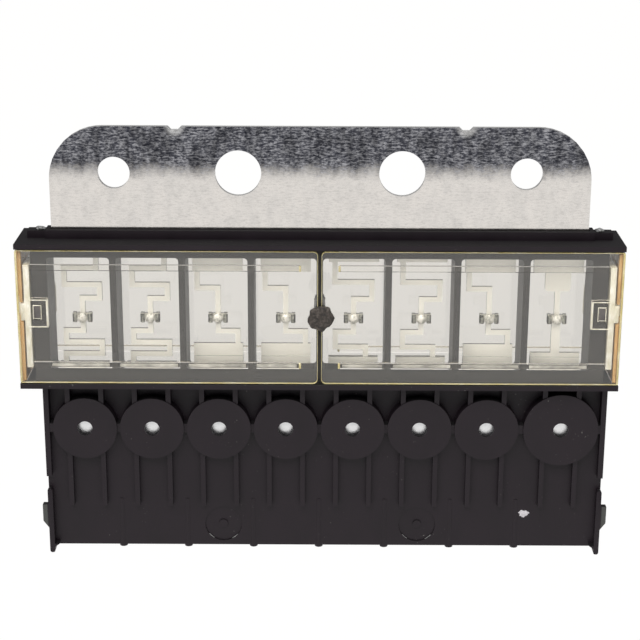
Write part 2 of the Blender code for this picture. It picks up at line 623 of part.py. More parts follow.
def make_stud(i, finish_material):
    """A stud bolt: a hexagonal head in the boss, and a threaded shank out of the rear."""
    big = i == LINKS - 1
    radius, flats = (M8_RADIUS, M8_FLATS) if big else (M6_RADIUS, M6_FLATS)
    head_back, end = -SLOT_FACE, METAL_FACE + STUD_LENGTH
    made = prism(f"stud_bolt_{i + 1}", STUD_X[i], STUD_Z, flats / 2 / math.cos(math.radians(30)),
                 (head_back - STUD_HEAD, head_back), 6)
    middle = head_back - STUD_HEAD / 2
    profile = [(0, middle), (radius, middle), (radius, end - STUD_CHAMFER),
               (radius - STUD_CHAMFER, end), (0, end)]
    shank = turned("shank", profile)
    shank.location = (STUD_X[i], 0, STUD_Z)
    join_or_cut(made, "UNION", [shank])
    return finish(made, finish_material)


def make_pellet(i, finish_material):
    """The tin pellet that the crimp ears hold on the front of a link."""
    mesh = bpy.data.meshes.new("tin_pellet")
    shape = bmesh.new()
    bmesh.ops.create_uvsphere(shape, u_segments=14, v_segments=8, radius=0.5)
    shape.to_mesh(mesh)
    shape.free()
    width = 2 * min(PELLET_RADIUS, CRIMP_REACH - CRIMP_EAR - GAP / 2)
    mesh.transform(Matrix.Diagonal((width, PELLET_DEPTH, 2 * PELLET_RADIUS, 1.0)))
    front = -LINK_THICKNESS / 2 - GAP - PELLET_DEPTH / 2
    return finish(piece(f"tin_pellet_{i + 1}", mesh, (LINK_X[i], front, PELLET_Z)), finish_material)


def make_finger(name, side, outside, finish_material):
    """A spring finger with its wedge hook; its origin is on the axis that it bends about."""
    root = SKIRT_END + FINGER_ROOT_RISE
    inside = outside - side * SKIRT_WALL
    hook_top = FINGER_TOP - HOOK_TOP_DROP
    hook_out = outside + side * HOOK_REACH
    corners = [(inside, root + GAP, 0), (outside, root + GAP, 0),
               (outside, hook_top - HOOK_HEIGHT, 0), (hook_out, hook_top - HOOK_FLAT, 0),
               (hook_out, hook_top, 0),
               (outside, hook_top, 0), (outside, FINGER_TOP, FINGER_CORNER),
               (inside, FINGER_TOP, FINGER_CORNER)]
    pivot = Vector(((outside + inside) / 2, -(SIDE_WALL_FRONT + FINGER_BACK) / 2, root))
    made = flat(name, [rounded(corners, steps=4)], (-SIDE_WALL_FRONT, -FINGER_BACK))
    made.data.transform(Matrix.Translation(made.location - pivot))
    made.location = pivot
    return finish(made, finish_material)


def make_panel():
    resin = make_material("black_resin", (0.03, 0.028, 0.029), 0.5)
    tinned = make_material("tinned_alloy", (0.78, 0.77, 0.74), 0.35, metallic=1.0)
    steel = make_material("plated_steel", (0.72, 0.72, 0.72), 0.3, metallic=1.0)
    tin = make_material("tin", (0.82, 0.81, 0.78), 0.4, metallic=1.0)
    clear = make_material("amber_clear", (0.95, 0.9, 0.75), 0.08, alpha=0.35)
    melted = make_material("melted_resin", (0.07, 0.058, 0.052), 0.75)
    parts = [make_housing(resin), make_conductor(tinned), make_stake(melted)]
    for rear, face in (("front", -1), ("rear", 1)):
        for hand, side in (("left", -1), ("right", 1)):
            parts.append(make_cover(f"{rear}_cover_{hand}", side, face, clear))
    for i in range(LINKS):
        parts.append(make_stud(i, steel))
        parts.append(make_pellet(i, tin))
    parts.append(make_finger("latch_finger_left", -1, LEFT_SIDE, resin))
    parts.append(make_finger("latch_finger_right", 1, RIGHT_SIDE, resin))
    for part in parts:
        PANEL.objects.link(part)


clear_scene()
PANEL = make_collection(NAME)
CUTTERS = make_collection(NAME + "_cutters")
MID_PLANE = bpy.data.objects.new("mid_plane", None)
MID_PLANE.location = (0, -BUSBAR_THICKNESS / 2, 0)  # the busbar's rear face is at Y = 0
PANEL.objects.link(MID_PLANE)
make_panel()
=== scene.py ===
"""The looks of the fuse box panel: materials, threads, melted stake, tin, cover edges and light."""

import json
import math

import bmesh
import bpy
from mathutils import Matrix, Vector, noise


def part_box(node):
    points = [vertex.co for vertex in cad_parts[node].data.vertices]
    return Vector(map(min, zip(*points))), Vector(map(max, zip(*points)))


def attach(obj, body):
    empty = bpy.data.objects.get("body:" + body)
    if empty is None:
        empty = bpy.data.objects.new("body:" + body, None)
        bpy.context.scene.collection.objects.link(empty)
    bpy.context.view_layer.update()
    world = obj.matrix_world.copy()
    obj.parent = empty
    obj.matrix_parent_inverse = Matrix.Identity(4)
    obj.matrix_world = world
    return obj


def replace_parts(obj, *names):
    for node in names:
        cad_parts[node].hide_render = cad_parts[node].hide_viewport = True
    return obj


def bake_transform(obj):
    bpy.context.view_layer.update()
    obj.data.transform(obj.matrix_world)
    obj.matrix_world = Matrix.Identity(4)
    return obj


MM = 0.001
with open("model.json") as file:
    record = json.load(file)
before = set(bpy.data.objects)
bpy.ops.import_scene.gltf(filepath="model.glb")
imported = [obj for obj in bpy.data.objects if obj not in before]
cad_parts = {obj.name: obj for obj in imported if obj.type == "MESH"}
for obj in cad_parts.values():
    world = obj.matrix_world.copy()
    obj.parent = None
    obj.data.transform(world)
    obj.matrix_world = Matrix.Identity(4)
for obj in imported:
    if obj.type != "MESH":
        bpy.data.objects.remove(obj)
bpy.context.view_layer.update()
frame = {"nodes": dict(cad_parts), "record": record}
NODES = frame["nodes"]
LINKS = 8

# Places read from the frame
METAL_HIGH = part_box("conductor")[1]
REAR_FACE = frame["record"]["mounts"][0]["pos_m"][1]
METAL = 1.5 * MM
MID_Y = REAR_FACE - METAL / 2
STAKE_LOW, STAKE_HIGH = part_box("heat_stake")
STAKE_Z = (STAKE_LOW.z + STAKE_HIGH.z) / 2
RIDGE_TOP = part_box("housing")[1].z
PELLET_LOW, PELLET_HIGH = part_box("tin_pellet_1")
LATCH_Z = (PELLET_LOW.z + PELLET_HIGH.z) / 2 + 3.3 * MM
WINDOWS_TOP = RIDGE_TOP - 5.5 * MM
NOTCH_X = 37.6 * MM
HOOK_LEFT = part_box("latch_finger_left")[0].x + 1.4 * MM
HOOK_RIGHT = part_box("latch_finger_right")[1].x - 1.4 * MM
HOOKS_TOP = -80 * MM
# Between these heights the housing is painted lighter, as painted light seen through the covers.
COVERED_LOW, COVERED_HIGH = -55.7 * MM, -18.6 * MM  # the part of the housing behind the covers
SKIRT_FACE = MID_Y - 2.8 * MM
DAUB_PLACE = (56.3 * MM, -94.8 * MM)
DIAL_PLACES = (-26.2 * MM, -98.2 * MM), (27.0 * MM, -98.2 * MM)

# Sizes of the pieces made here
GAP = 0.3 * MM  # between the metal and the stud's head
LEG_THICKNESS, HOOK_REACH, LEG_CHAMFER = 1.4 * MM, 1.5 * MM, 0.4 * MM
THREADS_AROUND = 28


# --- Materials -----------------------------------------------------------------------------------


class Surface:
    """A Principled material whose textures are read in the part's own coordinates, in metres."""

    def __init__(self, name, **values):
        self.material = bpy.data.materials.new(name)
        self.material.use_nodes = True
        self.nodes = self.material.node_tree.nodes
        self.links = self.material.node_tree.links
        self.shader = self.nodes["Principled BSDF"]
        self.output = self.nodes["Material Output"]
        for socket, value in values.items():
            self.shader.inputs[socket.replace("_", " ")].default_value = value
        self.place = self.nodes.new("ShaderNodeTexCoord").outputs["Object"]

    def stretched(self, scale):
        mapping = self.nodes.new("ShaderNodeMapping")
        mapping.inputs["Scale"].default_value = scale
        self.links.new(self.place, mapping.inputs["Vector"])
        return mapping.outputs["Vector"]

    def noise(self, size, detail=3.0, roughness=0.5, stretch=None, distortion=0.0):
        """Noise whose blotches are about size metres across."""
        made = self.nodes.new("ShaderNodeTexNoise")
        made.inputs["Scale"].default_value = 1 / size
        made.inputs["Detail"].default_value = detail
        made.inputs["Roughness"].default_value = roughness
        made.inputs["Distortion"].default_value = distortion
        self.links.new(self.stretched(stretch) if stretch else self.place, made.inputs["Vector"])
        return made.outputs["Fac"]

    def ramp(self, factor, *stops):
        """A colour ramp from (position, colour or grey) stops."""
        made = self.nodes.new("ShaderNodeValToRGB")
        elements = made.color_ramp.elements
        while len(elements) < len(stops):
            elements.new(0.5)
        for element, (position, colour) in zip(elements, stops):
            element.position = position
            element.color = (*colour, 1) if isinstance(colour, tuple) else (colour,) * 3 + (1,)
        self.links.new(factor, made.inputs["Fac"])
        return made.outputs["Color"]

    def span(self, factor, low, high, start=0.3, end=0.7):
        """The factor's start to end turned into low to high."""
        made = self.nodes.new("ShaderNodeMapRange")
        for socket, value in (("From Min", start), ("From Max", end), ("To Min", low), ("To Max", high)):
            made.inputs[socket].default_value = value
        self.links.new(factor, made.inputs["Value"])
        return made.outputs["Result"]

    def math(self, operation, *operands):
        made = self.nodes.new("ShaderNodeMath")
        made.operation = operation
        for socket, operand in zip(made.inputs, operands):
            if isinstance(operand, (int, float)):
                socket.default_value = operand
            else:
                self.links.new(operand, socket)
        return made.outputs["Value"]

    def mix(self, factor, first, second, blend="MIX"):
        made = self.nodes.new("ShaderNodeMix")
        made.data_type = "RGBA"
        made.blend_type = blend
        colours = [socket for socket in made.inputs if socket.type == "RGBA"]
        for socket, value in ((made.inputs["Factor"], factor), (colours[0], first), (colours[1], second)):
            if isinstance(value, (tuple, int, float)):
                socket.default_value = (*value, 1) if isinstance(value, tuple) else value
            else:
                self.links.new(value, socket)
        return [socket for socket in made.outputs if socket.type == "RGBA"][0]

    def bump(self, height, depth, strength=1.0):
        """Adds relief that is depth metres deep where height runs from 0 to 1."""
        made = self.nodes.new("ShaderNodeBump")
        made.inputs["Strength"].default_value = strength
        made.inputs["Distance"].default_value = depth
        self.links.new(height, made.inputs["Height"])
        before = self.shader.inputs["Normal"]
        if before.is_linked:
            self.links.new(before.links[0].from_socket, made.inputs["Normal"])
        self.links.new(made.outputs["Normal"], before)

    def set(self, socket, value):
        self.links.new(value, self.shader.inputs[socket])

    def axis(self, name):
        """One coordinate of the place, in metres."""
        made = self.nodes.new("ShaderNodeSeparateXYZ")
        self.links.new(self.place, made.inputs["Vector"])
        return made.outputs[name]

    def facing(self, name):
        """One coordinate of the surface's direction."""
        made = self.nodes.new("ShaderNodeSeparateXYZ")
        self.links.new(self.nodes.new("ShaderNodeNewGeometry").outputs["True Normal"], made.inputs["Vector"])
        return made.outputs[name]

    def near(self, x, z, reach):
        """1 at a place on the front or rear face, falling to 0 at reach metres from it."""
        dx = self.math("SUBTRACT", self.math("ABSOLUTE", self.axis("X")), x)
        dz = self.math("SUBTRACT", self.axis("Z"), z)
        squares = self.math("ADD", self.math("MULTIPLY", dx, dx), self.math("MULTIPLY", dz, dz))
        return self.span(self.math("SQRT", squares), 1.0, 0.0, 0.3 * reach, reach)


def tinned_plate():
    """Rolled tin plate, bright and warm; the speckled blue-grey above stands in for a reflection."""
    made = Surface("tin_plate", Metallic=1.0)
    blotches = made.noise(3.6 * MM, 4, 0.6, stretch=(1.3, 1, 0.7))
    patches = made.noise(2.6 * MM, 3, 0.6, stretch=(1.3, 1, 0.4))
    ripples = made.noise(0.52 * MM, 5, 0.72, stretch=(0.30, 1, 1.15))
    pits = made.noise(0.34 * MM, 3, 0.7, stretch=(0.5, 1, 0.8))
    speckle = made.math("ADD", made.math("MULTIPLY", ripples, 0.65), made.math("MULTIPLY", pits, 0.35))
    bright = made.ramp(blotches, (0.32, (0.65, 0.625, 0.595)), (0.5, (0.71, 0.68, 0.645)),
                       (0.7, (0.75, 0.715, 0.675)))
    bright = made.mix(0.45, bright, made.ramp(speckle, (0.38, 0.62), (0.52, 1.0)), "MULTIPLY")
    # Painted reflection: a speckled blue-grey tone on the upper plate stands in for the dark room it mirrors.
    dull = made.ramp(speckle, (0.38, (0.020, 0.021, 0.031)), (0.48, (0.085, 0.087, 0.103)),
                     (0.58, (0.38, 0.38, 0.40)))
    dull = made.mix(0.9, dull, made.ramp(patches, (0.36, 0.42), (0.62, 1.0)), "MULTIPLY")
    wander = made.math("ADD", made.span(ripples, -1.6 * MM, 1.6 * MM),
                       made.span(blotches, -1.0 * MM, 1.0 * MM))
    height = made.math("ADD", made.axis("Z"), wander)
    painted_reflection_band = made.span(height, 0.0, 1.0, -1.6 * MM, 2.4 * MM)
    tone = made.mix(painted_reflection_band, bright, dull)
    window = made.span(made.axis("Z"), 1.0, 0.0, WINDOWS_TOP, WINDOWS_TOP + 1 * MM)
    tone = made.mix(window, tone, (0.93, 0.92, 0.87))
    # Painted shade: inside the windows the cut edges are painted near black; elsewhere they keep a plain tin
    # grey.
    cut = made.span(made.math("ABSOLUTE", made.facing("Y")), 1.0, 0.0, 0.80, 0.97)
    rim = made.mix(window, (0.66, 0.65, 0.63), (0.07, 0.07, 0.06))
    tone = made.mix(made.math("MULTIPLY", cut, 0.85), tone, rim)
    made.set("Metallic", made.span(window, 1.0, 0.45, 0.0, 1.0))
    bruise = made.math("MULTIPLY", made.near(NOTCH_X, METAL_HIGH.z, 2.9 * MM), made.span(pits, 0.3, 1.0))
    made.set("Base Color", made.mix(bruise, tone, (0.84, 0.83, 0.81)))
    rough = made.math("ADD", made.span(blotches, 0.07, 0.11), made.span(pits, 0.0, 0.08))
    rough = made.math("MAXIMUM", rough, made.math("MULTIPLY", window, 0.34))
    rough = made.math("MAXIMUM", rough, made.math("MULTIPLY", bruise, 0.5))
    made.set("Roughness", made.math("MAXIMUM", rough, made.math("MULTIPLY", cut, 0.55)))
    made.bump(blotches, 0.02 * MM, 0.3)
    made.bump(ripples, 0.004 * MM, 0.7)
    return made.material


def black_resin():
    """Glass-filled moulding: near black, with a fine grain, faint flow marks and a little dust, plus painted
    sheen on the hooks, painted shade on up-facing faces and painted light behind the covers.
    """
    made = Surface("black_resin", Metallic=0.0)
    made.shader.inputs["Specular IOR Level"].default_value = 0.32
    flow = made.noise(9 * MM, 4, 0.55, stretch=(1, 1, 0.6), distortion=0.4)
    grain = made.noise(0.22 * MM, 2, 0.6)
    patches = made.noise(14 * MM, 2, 0.5)
    dust = made.math("MULTIPLY", made.span(made.noise(0.5 * MM, 1, 0.5), 0.0, 1.0, 0.74, 0.80),
                     made.span(patches, 0.0, 0.8, 0.5, 0.62))
    body = made.ramp(flow, (0.3, (0.0082, 0.0044, 0.0070)), (0.7, (0.0125, 0.0074, 0.0108)))
    # Painted sheen: the rounded hooks of the spring legs are painted lighter, as light caught on their curve.
    hooks = made.math("MAXIMUM", made.span(made.axis("X"), 1.0, 0.0, HOOK_LEFT - 0.3 * MM, HOOK_LEFT),
                      made.span(made.axis("X"), 0.0, 1.0, HOOK_RIGHT, HOOK_RIGHT + 0.3 * MM))
    painted_hook_sheen = made.math("MULTIPLY", hooks, made.span(made.axis("Z"), 1.0, 0.0, HOOKS_TOP - 5 * MM, HOOKS_TOP))
    body = made.mix(painted_hook_sheen, body, (0.065, 0.065, 0.060))
    # Painted shade: up-facing faces are painted darker, standing in for the dark room they mirror; they are
    # also made rougher.
    up_faces_shaded_and_rough = made.span(made.facing("Z"), 0.0, 0.85, 0.6, 0.95)
    body = made.mix(up_faces_shaded_and_rough, body, (0.004, 0.003, 0.0035))
    # Painted light: the housing behind the clear covers is painted lighter, standing in for light the covers
    # scatter over it.
    fade = 0.3 * MM
    painted_haze_light_behind_covers = made.math("MULTIPLY", made.span(made.axis("Z"), 0.0, 1.0, COVERED_LOW, COVERED_LOW + fade),
                        made.span(made.axis("Z"), 1.0, 0.0, COVERED_HIGH - fade, COVERED_HIGH))
    body = made.mix(painted_haze_light_behind_covers, body, (0.030, 0.028, 0.026))
    made.set("Base Color", made.mix(dust, body, (0.24, 0.23, 0.21)))
    rough = made.math("ADD", made.span(flow, 0.42, 0.52), made.span(grain, -0.04, 0.06))
    made.set("Roughness", made.math("MAXIMUM", rough, up_faces_shaded_and_rough))
    made.bump(grain, 0.010 * MM, 0.6)
    made.bump(flow, 0.05 * MM, 0.4)
    return made.material


def amber_clear():
    """Clear moulding with a faint amber tint, which lets the lamps through to what is behind it."""
    made = Surface("amber_clear", Base_Color=(0.995, 0.985, 0.965, 1), Transmission_Weight=1.0, IOR=1.6)
    haze = made.noise(6 * MM, 3, 0.5)
    made.set("Roughness", made.span(haze, 0.01, 0.04))
    made.bump(made.noise(14 * MM, 2, 0.5), 0.02 * MM, 0.3)
    tint = made.nodes.new("ShaderNodeVolumeAbsorption")
    tint.inputs["Color"].default_value = (0.95, 0.84, 0.62, 1)
    tint.inputs["Density"].default_value = 42.0
    made.links.new(tint.outputs["Volume"], made.output.inputs["Volume"])
    clear = made.nodes.new("ShaderNodeBsdfTransparent")
    clear.inputs["Color"].default_value = (0.9, 0.88, 0.83, 1)
    choose = made.nodes.new("ShaderNodeMixShader")
    path = made.nodes.new("ShaderNodeLightPath")
    made.links.new(path.outputs["Is Shadow Ray"], choose.inputs["Fac"])
    made.links.new(made.shader.outputs["BSDF"], choose.inputs[1])
    made.links.new(clear.outputs["BSDF"], choose.inputs[2])
    made.links.new(choose.outputs["Shader"], made.output.inputs["Surface"])
    return made.material


def mottled(name, size, rough, relief, *stops, stretch=None):
    """A dull material whose colour wanders through the stops in patches of size metres."""
    made = Surface(name, Roughness=rough)
    patches = made.noise(size, 4, 0.6, stretch=stretch)
    made.set("Base Color", made.ramp(patches, *stops))
    made.bump(patches, relief, 0.5)
    return made.material


def plated_steel():
    made = Surface("plated_steel", Metallic=1.0)
    blotches = made.noise(1.5 * MM, 4, 0.6)
    made.set("Base Color", made.ramp(blotches, (0.3, (0.76, 0.76, 0.76)), (0.7, (0.90, 0.90, 0.90))))
    made.set("Roughness", made.span(blotches, 0.28, 0.46))
    made.bump(made.noise(0.3 * MM, 3, 0.6), 0.008 * MM, 0.5)
    return made.material


def cast_tin():
    made = Surface("cast_tin", Metallic=0.5)
    lumps = made.noise(0.8 * MM, 4, 0.6)
    made.set("Base Color", made.ramp(lumps, (0.36, (0.40, 0.40, 0.36)), (0.52, (0.82, 0.81, 0.77)),
                                     (0.66, (0.92, 0.91, 0.88))))
    made.set("Roughness", made.span(lumps, 0.42, 0.62))
    made.bump(lumps, 0.10 * MM, 0.6)
    return made.material


def shade_painted_crimp():
    """The folded ears: metal painted dark in noise patches, as painted shade for ears that curl away from the
    light.
    """
    made = Surface("shade_painted_crimp", Metallic=1.0)
    shade = made.noise(0.7 * MM, 3, 0.6)
    made.set("Base Color", made.ramp(shade, (0.3, (0.12, 0.12, 0.10)), (0.7, (0.60, 0.60, 0.54))))
    made.set("Roughness", made.span(shade, 0.25, 0.45))
    made.bump(shade, 0.03 * MM, 0.5)
    return made.material


def melted_resin():
    """The head of the stake: scorched, lumpy and dull, browner than the housing."""
    made = Surface("melted_resin", Metallic=0.0)
    lumps = made.noise(0.9 * MM, 5, 0.65)
    made.set("Base Color", made.ramp(lumps, (0.36, (0.010, 0.008, 0.006)), (0.50, (0.046, 0.036, 0.029)),
                                     (0.68, (0.12, 0.10, 0.085))))
    made.set("Roughness", made.span(lumps, 0.5, 0.8))
    made.bump(lumps, 0.45 * MM, 0.9)
    return made.material


# --- Setting -------------------------------------------------------------------------------------


def make_camera():
    """Straight in front of the middle of the panel, looking down on it a little."""
    data = bpy.data.cameras.new("camera")
    data.sensor_width = 36
    data.lens = 95.2
    data.clip_start = 0.01
    camera = bpy.data.objects.new("camera", data)
    bpy.context.scene.collection.objects.link(camera)
    pan = Matrix.Rotation(math.radians(0.04), 4, "Z")
    tilt = Matrix.Rotation(math.radians(72.22), 4, "X") @ Matrix.Rotation(math.radians(0.24), 4, "Z")
    camera.matrix_world = Matrix.Translation((0.4 * MM, MID_Y - 0.430, 0.0978)) @ pan @ tilt
    bpy.context.scene.camera = camera


def make_floor():
    """A pale light table well below the panel, softer where it is seen through the clear covers."""
    front, rear, half = -5.0, 6.0, 5.0
    mesh = bpy.data.meshes.new("floor")
    shape = bmesh.new()
    bmesh.ops.create_grid(shape, x_segments=1, y_segments=1, size=0.5)
    shape.to_mesh(mesh)
    shape.free()
    floor = bpy.data.objects.new("floor", mesh)
    bpy.context.scene.collection.objects.link(floor)
    floor.scale = (2 * half, rear - front, 1.0)
    floor.location = (0.0, (front + rear) / 2, -0.40)
    paint = Surface("pale_floor", Base_Color=(0.02, 0.02, 0.02, 1), Roughness=1.0)
    paint.shader.inputs["Specular IOR Level"].default_value = 0.0
    paint.shader.inputs["Emission Color"].default_value = (1, 0.995, 0.99, 1)
    through = paint.nodes.new("ShaderNodeLightPath").outputs["Is Transmission Ray"]
    paint.set("Emission Strength", paint.math("SUBTRACT", 0.99, paint.math("MULTIPLY", through, 0.29)))
    mesh.materials.append(paint.material)


def make_light():
    """A dark room with a bright ceiling, white where it is seen directly, and one large soft lamp."""
    world = bpy.data.worlds.new("studio")
    bpy.context.scene.world = world
    world.use_nodes = True
    nodes, links = world.node_tree.nodes, world.node_tree.links
    place = nodes.new("ShaderNodeTexCoord")
    split = nodes.new("ShaderNodeSeparateXYZ")
    ramp = nodes.new("ShaderNodeValToRGB")
    links.new(place.outputs["Generated"], split.inputs["Vector"])
    links.new(split.outputs["Z"], ramp.inputs["Fac"])
    low, high = ramp.color_ramp.elements
    low.position, low.color = 0.36, (0.13, 0.135, 0.15, 1)
    high.position, high.color = 0.85, (1, 1, 1, 1)
    path = nodes.new("ShaderNodeLightPath")
    seen = nodes.new("ShaderNodeMath")
    seen.operation = "MAXIMUM"
    links.new(path.outputs["Is Camera Ray"], seen.inputs[0])
    links.new(path.outputs["Is Transmission Ray"], seen.inputs[1])
    room = nodes["Background"]
    links.new(ramp.outputs["Color"], room.inputs["Color"])
    white = nodes.new("ShaderNodeBackground")
    choose = nodes.new("ShaderNodeMixShader")
    white.inputs["Color"].default_value = (1, 1, 1, 1)
    links.new(seen.outputs["Value"], choose.inputs["Fac"])
    links.new(room.outputs["Background"], choose.inputs[1])
    links.new(white.outputs["Background"], choose.inputs[2])
    links.new(choose.outputs["Shader"], nodes["World Output"].inputs["Surface"])
    data = bpy.data.lights.new("softbox", "AREA")
    data.shape = "RECTANGLE"
    data.size, data.size_y = 1.6, 0.9
    data.energy = 24
    lamp = bpy.data.objects.new("softbox", data)
    bpy.context.scene.collection.objects.link(lamp)
    lamp.location = (-0.35, -1.1, 1.3)
    lamp.rotation_euler = (Vector((0, 0, -0.05)) - lamp.location).to_track_quat("-Z", "Y").to_euler()


# --- Making the pieces ---------------------------------------------------------------------------


def paint_node(name, material):
    node = NODES[name]
    node.data.materials.clear()
    node.data.materials.append(material)


def ease_edges(name, width):
    """Small moulding or tumbling radii on a node's edges, which catch the light."""
    change = NODES[name].modifiers.new("eased_edges", "BEVEL")
    change.width = width
    change.segments = 2
    change.limit_method = "ANGLE"
    change.angle_limit = math.radians(40)
    change.use_clamp_overlap = True
    change.harden_normals = False


def add_piece(name, shape, material, body="panel", angle=35):
    """Turns a bmesh into a named piece that rides on a body."""
    bmesh.ops.recalc_face_normals(shape, faces=shape.faces)
    mesh = bpy.data.meshes.new(name)
    shape.to_mesh(mesh)
    shape.free()
    mesh.materials.append(material)
    mesh.shade_smooth()
    mesh.set_sharp_from_angle(angle=math.radians(angle))
    piece = bpy.data.objects.new(name, mesh)
    bpy.context.scene.collection.objects.link(piece)
    if body:
        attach(piece, body)
    return piece


def block(shape, low, high, edge=0.0):
    """Adds a block to a bmesh, with round edges."""
    low, high = Vector(map(min, low, high)), Vector(map(max, low, high))
    size = high - low
    made = bmesh.ops.create_cube(
        shape, size=1.0, matrix=Matrix.Translation((low + high) / 2) @ Matrix.Diagonal((*size, 1.0)))
    if edge:
        edges = {side for vert in made["verts"] for side in vert.link_edges}
        bmesh.ops.bevel(shape, geom=list(edges), offset=edge, segments=2, profile=0.5, affect="EDGES")


def ring(shape, centre, radius, y, count, wobble=None):
    """Adds a ring of points about the Y axis, each pushed in or out by wobble(turn)."""
    points = []
    for i in range(count):
        turn = 2 * math.pi * i / count
        at = radius * (1 + (wobble(turn) if wobble else 0))
        points.append(shape.verts.new((centre[0] + at * math.cos(turn), y, centre[1] + at * math.sin(turn))))
    return points


def bridge(shape, rings):
    """Joins rings of equal count with quads, and closes both ends."""
    for before, after in zip(rings, rings[1:]):
        for i in range(len(before)):
            j = (i + 1) % len(before)
            shape.faces.new((before[i], before[j], after[j], after[i]))
    shape.faces.new(rings[0])
    shape.faces.new(rings[-1])


def add_thread(shape, centre, radius, pitch, start, end):
    """A V thread along +Y: rows of points follow the helix, so that its flanks run true."""
    around, rows = THREADS_AROUND, (1.0, 1.0, 0.0, 0.0)
    depth, ease = 0.61 * pitch, 0.9 * pitch
    turns = math.ceil((end - start) / pitch) + 1
    columns = []
    for a in range(around + 1):
        column = []
        for k in range(4 * turns + 1):
            y = start - pitch + (k / 4 + a / around) * pitch
            y = min(max(y, start), end)
            crest = radius - depth * (1 - rows[k % 4])
            limit = radius - depth + min(1.0, (end - y) / ease) * depth
            turn = 2 * math.pi * a / around
            at = min(crest, limit)
            x, z = centre[0] + at * math.cos(turn), centre[1] + at * math.sin(turn)
            column.append(shape.verts.new((x, y, z)))
        columns.append(column)
    for before, after in zip(columns, columns[1:]):
        for k in range(4 * turns):
            shape.faces.new((before[k], before[k + 1], after[k + 1], after[k]))
    shape.faces.new([column[-1] for column in columns[:-1]])


def make_studs(material):
    """Stud bolts with a chamfered hexagonal head and a rolled thread, in place of the plain ones."""
    for i in range(LINKS):
        name = f"stud_bolt_{i + 1}"
        low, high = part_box(name)
        big = i == LINKS - 1
        radius, pitch = (4.0 * MM, 1.25 * MM) if big else (3.0 * MM, 1.0 * MM)
        centre = ((low.x + high.x) / 2, (low.z + high.z) / 2)
        head_back = MID_Y - METAL / 2 - GAP
        shape = bmesh.new()
        corner = (high.z - low.z) / 2
        rim = 0.35 * MM
        rings = [ring(shape, centre, corner * 0.9, low.y, 6), ring(shape, centre, corner, low.y + rim, 6),
                 ring(shape, centre, corner, head_back, 6)]
        for points in rings:
            bmesh.ops.rotate(shape, verts=points, cent=(centre[0], 0, centre[1]),
                             matrix=Matrix.Rotation(math.radians(30), 3, "Y"))
        bridge(shape, rings)
        neck_end = REAR_FACE + 0.6 * MM
        neck = 0.9 * radius
        bridge(shape, [ring(shape, centre, neck, y, THREADS_AROUND) for y in (head_back - rim, neck_end)])
        add_thread(shape, centre, radius, pitch, neck_end - 0.2 * MM, high.y)
        piece = add_piece(f"threaded_stud_{i + 1}", shape, material, angle=50)
        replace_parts(piece, name)


def make_stake(material):
    """The melted stake: a wide lumpy head in front and a small one behind, on one round shank."""
    shape = bmesh.new()
    middle = (STAKE_LOW.y + STAKE_HIGH.y) / 2
    bridge(shape, [ring(shape, (0, STAKE_Z), 0.72 * MM, middle + side * 8.4 * MM, 20) for side in (-1, 1)])
    height = 1.45 * MM

    def lobes(turn):
        return 0.045 * math.sin(5 * turn + 2.4) + 0.04 * math.sin(8 * turn + 0.8) + 0.03 * math.sin(2 * turn)

    for side, tip, radius, off in ((-1, STAKE_LOW.y, STAKE_HIGH.x, 0.3 * MM), (1, STAKE_HIGH.y, 1.5 * MM, 0)):
        under = tip - side * height
        rings = []
        for rise, share in ((0.0, 0.93), (0.22, 1.0), (0.48, 0.99), (0.70, 0.92), (0.84, 0.80), (0.90, 0.66),
                            (0.94, 0.50), (0.96, 0.34), (0.97, 0.18)):
            y = under + side * rise * height
            rings.append(ring(shape, (off, STAKE_Z), 0.98 * radius * share, y, 72, lobes))
        bridge(shape, rings)
        for vert in [vert for points in rings[1:] for vert in points]:
            seed = Vector((vert.co.x, vert.co.y + side, vert.co.z)) / (0.9 * MM)
            push = noise.noise(seed) * 0.5 + noise.noise(seed * 2.3) * 0.3
            vert.co.x += (vert.co.x - off) * 0.10 * push
            vert.co.z += (vert.co.z - STAKE_Z) * 0.10 * push
            vert.co.y -= side * (abs(push) * 0.9 * MM)
    piece = add_piece("melted_stake", shape, material, angle=60)
    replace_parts(piece, "heat_stake")


def make_pellets(tin, dark):
    """Cast tin drops, each held by two ears, painted dark as painted shade, that curl over it."""
    for i in range(LINKS):
        name = f"tin_pellet_{i + 1}"
        low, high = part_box(name)
        centre, half = (low + high) / 2, (high - low) / 2
        shape = bmesh.new()
        bmesh.ops.create_icosphere(shape, subdivisions=4, radius=1.0)
        for vert in shape.verts:
            lump = 1 - 0.16 * abs(noise.noise(vert.co * 1.6 + Vector((i * 3.1, 0, 0))))
            lump -= 0.05 * abs(noise.noise(vert.co * 4.5 + Vector((0, i * 1.7, 0))))
            vert.co = centre + Vector(a * b for a, b in zip(vert.co * lump, half))
        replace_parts(add_piece(f"tin_drop_{i + 1}", shape, tin, angle=180), name)
        shape = bmesh.new()
        for side in (-1, 1):
            curl(shape, centre, side)
        add_piece(f"crimp_ears_{i + 1}", shape, dark, angle=60)


def curl(shape, centre, side):
    """One ear: a strip that rises from the arm beside the pellet and bends over it."""
    inner, thickness, half = 0.44 * MM, 0.22 * MM, 1.22 * MM
    pivot = Vector((centre.x + side * 1.94 * MM, MID_Y - 1.22 * MM, 0))
    rows = []
    for step in range(9):
        turn = math.radians(-62 + 26 * step)
        way = Vector((side * math.cos(turn), -math.sin(turn), 0))
        rows.append([pivot + way * inner, pivot + way * (inner + thickness)])
    loops = []
    for near, far in rows:
        loops.append([shape.verts.new((point.x, point.y, centre.z + rise)) for point, rise in
                      ((near, -half), (far, -half * 0.9), (far, half * 0.9), (near, half))])
    for before, after in zip(loops, loops[1:]):
        for k in range(4):
            shape.faces.new((before[k], before[(k + 1) % 4], after[(k + 1) % 4], after[k]))
    shape.faces.new(loops[0])
    shape.faces.new(loops[-1])


